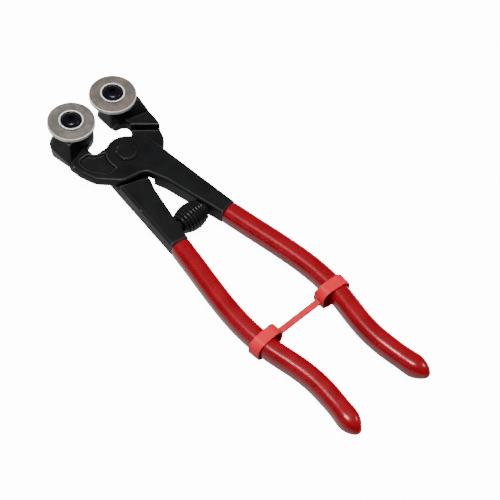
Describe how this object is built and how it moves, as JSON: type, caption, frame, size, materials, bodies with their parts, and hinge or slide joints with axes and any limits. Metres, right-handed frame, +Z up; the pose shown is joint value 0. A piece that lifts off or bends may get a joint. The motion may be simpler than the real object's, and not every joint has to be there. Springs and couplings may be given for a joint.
{
  "type": "wheeled mosaic glass nippers",
  "caption": "Spring-opened pliers with two round cutting wheels screwed on top of a lapped, riveted head and dipped grips held by a strap, for breaking mosaic glass.",
  "frame": {"origin": "on the pivot axis, in the plane of the lower lever's pivot boss underside, which the tool rests on", "axes": "+X runs from the pivot to the cutting wheels, -X to the grips, +Z up along the pivot and the wheel screws, +Y to the upper lever's wheel"},
  "size_m": [0.2084, 0.0564, 0.0224],
  "materials": {
    "black_steel": "black oxide, satin",
    "wheel_carbide": "ground, satin",
    "bright_steel": "polished",
    "red_dip": "glossy dipped vinyl",
    "strap_vinyl": "satin",
    "spring_steel": "blackened wire"
  },
  "bodies": {
    "lower_arm": {"lower_lever": "black_steel", "pivot_rivet": "black_steel", "right_wheel_screw": "black_steel", "lower_grip": "red_dip", "lower_strap_ring": "strap_vinyl", "lower_spring_peg": "spring_steel", "return_spring": "spring_steel", "strap_link": "strap_vinyl"},
    "upper_arm": {"upper_lever": "black_steel", "left_wheel_screw": "black_steel", "upper_grip": "red_dip", "upper_strap_ring": "strap_vinyl", "upper_spring_peg": "spring_steel"},
    "left_cutter": {"left_wheel": "wheel_carbide", "left_wheel_hub": "bright_steel"},
    "right_cutter": {"right_wheel": "wheel_carbide", "right_wheel_hub": "bright_steel"}
  },
  "joints": [
    {"name": "pivot", "type": "hinge", "parent": "lower_arm", "child": "upper_arm", "pos_m": [0, 0, 0], "axis": [0, 0, -1], "range_deg": [0, 6.4], "stiffness_Nm_per_rad": 3, "springref_deg": -17.19, "deforming": ["return_spring", "strap_link"]},
    {"name": "left_wheel_turn", "type": "hinge", "parent": "upper_arm", "child": "left_cutter", "pos_m": [0.0242, 0.0124, 0.0196], "axis": [0, 0, 1], "continuous": true},
    {"name": "right_wheel_turn", "type": "hinge", "parent": "lower_arm", "child": "right_cutter", "pos_m": [0.0242, -0.0124, 0.0196], "axis": [0, 0, 1], "continuous": true}
  ]
}
